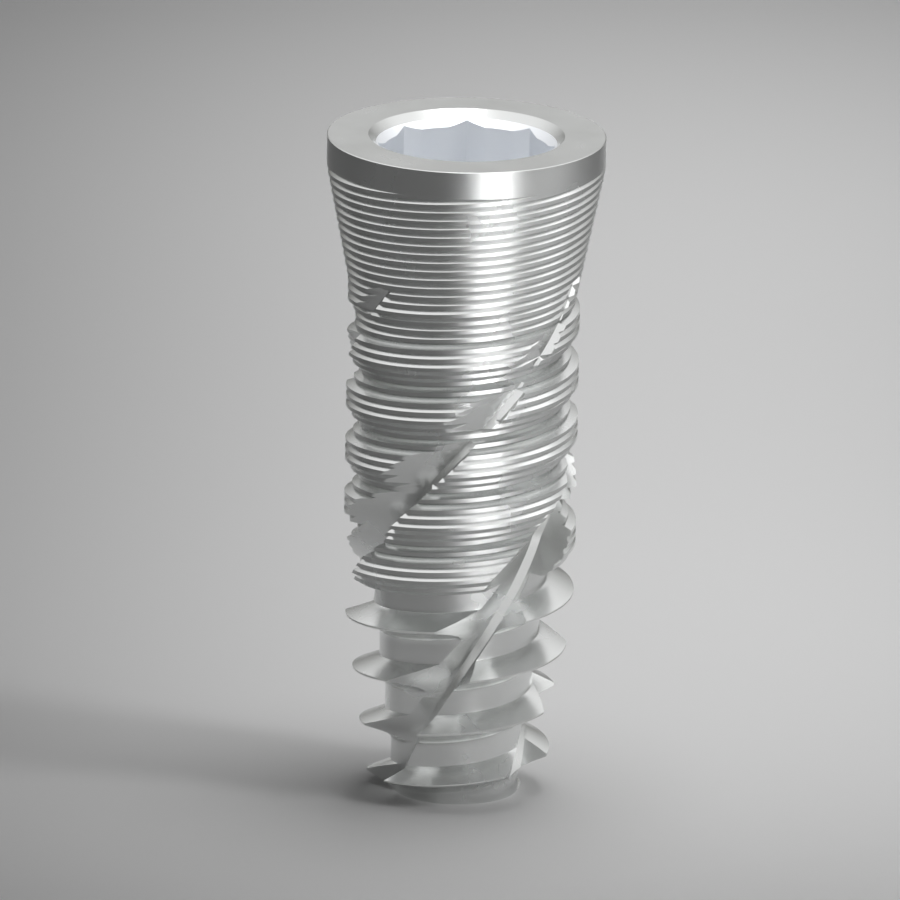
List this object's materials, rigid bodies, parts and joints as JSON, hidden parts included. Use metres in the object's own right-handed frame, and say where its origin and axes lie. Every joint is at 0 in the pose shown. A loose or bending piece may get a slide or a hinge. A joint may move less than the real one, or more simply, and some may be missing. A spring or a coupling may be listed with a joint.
{
  "type": "dental implant",
  "caption": "Tapered titanium screw implant with a smooth collar, a waved body thread, thin blades towards the tip, helical cutting flutes and an internal octagon socket.",
  "frame": {"origin": "middle of the flat apex, which the implant stands on", "axes": "+Z along the implant's axis from the apex to the platform, -Y towards the side that the picture shows"},
  "size_m": [0.0048, 0.0048, 0.0117],
  "materials": {
    "titanium": "bright machined titanium, satin"
  },
  "bodies": {
    "root": {"implant_body": "titanium"}
  },
  "joints": []
}
